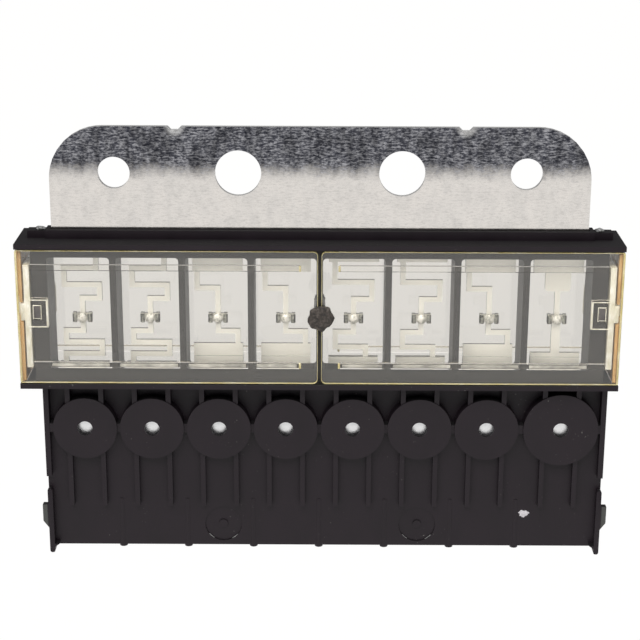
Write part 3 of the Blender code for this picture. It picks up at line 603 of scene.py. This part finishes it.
def cover_spans(name):
    """A cover's face, inner and outer ends, and heights; y_face is its outermost face."""
    low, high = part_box(name)
    side = -1 if name.endswith("left") else 1
    face = -1 if name.startswith("front") else 1
    return side, face, (low.y if face < 0 else high.y), \
        (high.x if side < 0 else low.x), (low.x if side < 0 else high.x), low.z, high.z


def make_cover_edges(pale, amber, frosted, shade, glow):
    """What thick clear edges look like: pale rims and rails as painted highlights, amber end walls as painted
    light seen along the walls, frosted inner walls with painted highlights round the latches.
    """
    for name in ("front_cover_left", "front_cover_right", "rear_cover_left", "rear_cover_right"):
        side, face, y_face, inner, outer, bottom, top = cover_spans(name)

        def slab(shape, x_out, x_in, y_front, y_back, z_low, z_high, edge=0.04 * MM):
            """A block measured inwards from the cover's outer end and from its outer face."""
            block(shape, (outer - side * x_out, y_face - face * y_front, z_low),
                  (outer - side * x_in, y_face - face * y_back, z_high), edge)

        width, line, skin, corner = abs(outer - inner), 0.15 * MM, 0.03 * MM, 1.3 * MM
        y0, y1 = 0.12 * MM, 1.1 * MM
        # Painted highlights: pale slabs along the top, bottom and inner edges, round the corners and along
        # the rails, where the clear edges catch the light.
        shape = bmesh.new()
        slab(shape, 0.1 * MM, width - corner, y0, y1, top - line, top - skin, 0.03 * MM)
        slab(shape, 0.1 * MM, width - corner, y0, y1, bottom + skin, bottom + line, 0.03 * MM)
        slab(shape, width - line, width - skin, y0, y1, bottom + corner, top - corner, 0.03 * MM)
        slab(shape, skin, 0.5 * MM, y0, y1, bottom + line, top - line)
        for z_centre, sign in ((top - corner, 1), (bottom + corner, -1)):
            add_arc(shape, (inner + side * corner, z_centre), corner - skin, line - skin, -side, sign,
                    (0, 90), (y_face - face * y0, y_face - face * y1))
        for z in (top - 4.8 * MM, bottom + 4.8 * MM):
            rail = width - 5.0 * MM
            slab(shape, rail, rail + 0.6 * MM, 0.7 * MM, 2.0 * MM, z - 0.7 * MM, z + 0.7 * MM, 0.15 * MM)
        add_piece(name + "_rim", shape, pale)

        # Painted light: amber slabs in the end walls stand in for light seen along the wall's length.
        shape = bmesh.new()
        for z_low, z_high in ((bottom + 0.5 * MM, LATCH_Z - 2.7 * MM), (LATCH_Z + 2.7 * MM, top - 0.5 * MM)):
            slab(shape, 0.62 * MM, 1.42 * MM, 1.3 * MM, 8.0 * MM, z_low, z_high, 0.1 * MM)
        add_piece(name + "_end_wall", shape, amber)

        shape = bmesh.new()
        slab(shape, 1.85 * MM, 3.4 * MM, 1.25 * MM, 8.0 * MM, bottom + 4.1 * MM, top - 4.1 * MM, 0.15 * MM)
        slab(shape, 0.7 * MM, 2.0 * MM, 1.25 * MM, 6.0 * MM, LATCH_Z - 2.4 * MM, LATCH_Z + 2.4 * MM, 0.3 * MM)
        # Painted highlights: light bars outline each latch loop and the hole in it.
        low, high, bar = LATCH_Z - 4.2 * MM, LATCH_Z + 3.4 * MM, 0.25 * MM
        for z in (low, high - bar):
            slab(shape, 2.4 * MM, 7.9 * MM, 1.15 * MM, 1.5 * MM, z, z + bar, 0.05 * MM)
        slab(shape, 7.5 * MM, 7.95 * MM, 1.15 * MM, 2.0 * MM, low, high, 0.05 * MM)
        for x in (4.0 * MM, 6.1 * MM):
            slab(shape, x, x + 0.18 * MM, 1.0 * MM, 1.3 * MM, LATCH_Z - 1.95 * MM, LATCH_Z + 1.95 * MM)
        for z in (-1.95 * MM, 1.8 * MM):
            slab(shape, 4.0 * MM, 6.2 * MM, 1.0 * MM, 1.3 * MM, LATCH_Z + z, LATCH_Z + z + 0.15 * MM)
        add_piece(name + "_frosted_wall_and_highlights", shape, frosted)

        if face < 0:
            shape = bmesh.new()
            for i in range(LINKS):
                low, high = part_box(f"tin_pellet_{i + 1}")
                x, half = (low.x + high.x) / 2, 7.6 * MM
                if x * side > 0:
                    start, end = max(x * side - half, 6.0 * MM) * side, (x * side + half) * side
                    block(shape, (start, y_face + 1.35 * MM, bottom + 4.3 * MM),
                          (end, y_face + 1.8 * MM, bottom + 5.2 * MM), 0.1 * MM)
            add_piece(name + "_rail_glow", shape, glow)

        shape = bmesh.new()
        slab(shape, 4.1 * MM, 6.1 * MM, 1.3 * MM, 1.6 * MM, LATCH_Z - 1.8 * MM, LATCH_Z + 1.8 * MM)
        add_piece(name + "_latch_shade", shape, shade)


def add_arc(shape, centre, radius, thickness, x_sign, z_sign, degrees, depth):
    """A flat arc of a ring about the Y axis, from degrees[0] to degrees[1]."""
    loops = []
    for step in range(9):
        turn = math.radians(degrees[0] + (degrees[1] - degrees[0]) * step / 8)
        way = Vector((x_sign * math.cos(turn), 0, z_sign * math.sin(turn)))
        outer, inner = way * radius, way * (radius - thickness)
        loops.append([shape.verts.new((centre[0] + point.x, y, centre[1] + point.z)) for point, y in
                      ((outer, depth[0]), (outer, depth[1]), (inner, depth[1]), (inner, depth[0]))])
    for before, after in zip(loops, loops[1:]):
        for k in range(4):
            shape.faces.new((before[k], before[(k + 1) % 4], after[(k + 1) % 4], after[k]))
    shape.faces.new(loops[0])
    shape.faces.new(loops[-1])


def make_legs(material):
    """The spring fingers with their feet, in one piece, sliced into rings from the foot up to the hook."""
    for name in ("left", "right"):
        side = -1 if name == "left" else 1
        node = f"latch_finger_{name}"
        low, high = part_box(node)
        outside = low.x + HOOK_REACH if side < 0 else high.x - HOOK_REACH
        inside = outside - side * LEG_THICKNESS
        hook_top, hook_flat, hook_low = high.z - 4.6 * MM, high.z - 9.5 * MM, high.z - 11.5 * MM
        foot = low.z - 0.95 * MM
        hook = outside + side * HOOK_REACH
        outline = [(inside, foot), (outside, foot), (outside, hook_low), (hook, hook_flat), (hook, hook_top),
                   (outside, hook_top), (outside, high.z - LEG_CHAMFER),
                   (outside - side * LEG_CHAMFER, high.z), (inside + side * LEG_CHAMFER, high.z),
                   (inside, high.z - LEG_CHAMFER)]
        shape = bmesh.new()
        face = shape.faces.new([shape.verts.new((x, low.y, z)) for x, z in outline])
        swept = bmesh.ops.extrude_face_region(shape, geom=[face])["geom"]
        bmesh.ops.translate(shape, vec=(0, high.y - low.y, 0),
                            verts=[item for item in swept if isinstance(item, bmesh.types.BMVert)])
        for step in range(1, 14):
            bmesh.ops.bisect_plane(shape, geom=shape.verts[:] + shape.edges[:] + shape.faces[:],
                                   plane_co=(0, 0, foot + (hook_low - foot) * step / 14), plane_no=(0, 0, 1))
        sharp = [edge for edge in shape.edges if edge.is_manifold and edge.calc_face_angle(0) > 0.6]
        bmesh.ops.bevel(shape, geom=sharp, offset=0.14 * MM, segments=2, profile=0.5, affect="EDGES")
        bmesh.ops.translate(shape, vec=(side * 0.02 * MM, -0.02 * MM, 0), verts=shape.verts)
        piece = add_piece(f"spring_leg_{name}", shape, material, body=None)
        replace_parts(piece, node)
        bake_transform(piece)


def make_small_marks(flash, daub):
    """Resin flash where the busbar comes out, a daub of paint on the skirt, and painted highlights on the
    lower rims of the dials.
    """
    for side in (-1, 1):
        shape = bmesh.new()
        bmesh.ops.create_icosphere(shape, subdivisions=3, radius=1.0)
        centre = Vector((side * (METAL_HIGH.x - 0.3 * MM), MID_Y - 0.5 * MM, RIDGE_TOP + 0.1 * MM))
        for vert in shape.verts:
            lump = 1 + 0.35 * noise.noise(vert.co * 1.7 + Vector((side, 0, 0)))
            vert.co = centre + Vector(a * b * MM for a, b in zip(vert.co * lump, (1.2, 0.9, 0.55)))
        add_piece(f"flash_nub_{'left' if side < 0 else 'right'}", shape, flash, angle=180)
    shape = bmesh.new()

    def ragged(turn):
        return 0.13 * math.sin(3 * turn + 0.6) + 0.10 * math.sin(7 * turn) + 0.06 * math.sin(13 * turn + 1)

    bridge(shape, [ring(shape, DAUB_PLACE, 1.35 * MM, SKIRT_FACE + 0.05 * MM, 48, ragged),
                   ring(shape, DAUB_PLACE, 1.33 * MM, SKIRT_FACE - 0.03 * MM, 48, ragged),
                   ring(shape, DAUB_PLACE, 1.05 * MM, SKIRT_FACE - 0.07 * MM, 48, ragged)])
    flatten = Matrix.Translation((0, 0, -DAUB_PLACE[1]))
    bmesh.ops.scale(shape, vec=(1.0, 1.0, 0.74), space=flatten, verts=shape.verts)
    add_piece("paint_daub", shape, daub, angle=40)
    # Painted highlights: short light arcs on the lower rims of the dials.
    shape = bmesh.new()
    depth = (SKIRT_FACE - 0.01 * MM, SKIRT_FACE + 0.3 * MM)
    for centre in DIAL_PLACES:
        for x_sign, degrees in ((-1, (38, 58)), (1, (40, 62))):
            add_arc(shape, centre, 5.06 * MM, 0.10 * MM, x_sign, -1, degrees, depth)
    add_piece("dial_glints_painted", shape, flash)


def dress():
    resin, plate, clear = black_resin(), tinned_plate(), amber_clear()
    for name in NODES:
        if "cover" in name:
            paint_node(name, clear)
        elif name == "conductor":
            paint_node(name, plate)
        elif name == "housing":
            paint_node(name, resin)
    ease_edges("housing", 0.20 * MM)
    ease_edges("conductor", 0.15 * MM)
    make_studs(plated_steel())
    make_stake(melted_resin())
    make_pellets(cast_tin(), shade_painted_crimp())
    pale = mottled("painted_edge_highlight", 5 * MM, 0.3, 0.01 * MM, (0.3, (0.46, 0.37, 0.11)), (0.5, (0.58, 0.51, 0.25)),
                   (0.7, (0.70, 0.66, 0.48)))
    amber = mottled("painted_amber_light", 7 * MM, 0.18, 0.01 * MM, (0.3, (0.52, 0.30, 0.11)),
                    (0.5, (0.62, 0.39, 0.17)), (0.7, (0.70, 0.48, 0.24)))
    frosted = mottled("frosted_resin_and_highlight", 1.6 * MM, 0.5, 0.08 * MM, (0.3, (0.66, 0.63, 0.50)),
                      (0.5, (0.78, 0.76, 0.66)), (0.68, (0.93, 0.92, 0.88)), stretch=(1, 1, 0.45))
    shade = mottled("shaded_resin", 1.5 * MM, 0.5, 0.02 * MM, (0.3, (0.10, 0.09, 0.095)),
                    (0.7, (0.16, 0.15, 0.15)))
    glow = mottled("rail_glow", 2.2 * MM, 0.45, 0.03 * MM, (0.32, (0.24, 0.235, 0.22)),
                   (0.5, (0.42, 0.41, 0.38)), (0.66, (0.62, 0.61, 0.57)), stretch=(0.5, 1, 1))
    make_cover_edges(pale, amber, frosted, shade, glow)
    make_legs(resin)
    flash = mottled("flash_resin_and_glint", 0.6 * MM, 0.35, 0.02 * MM, (0.3, (0.05, 0.05, 0.05)),
                    (0.7, (0.35, 0.35, 0.34)))
    daub = mottled("paint_daub", 0.8 * MM, 0.6, 0.02 * MM, (0.3, (0.50, 0.47, 0.49)),
                   (0.7, (0.66, 0.63, 0.65)))
    make_small_marks(flash, daub)


make_camera()
make_floor()
make_light()
dress()
bpy.context.scene.view_settings.view_transform = "Standard"
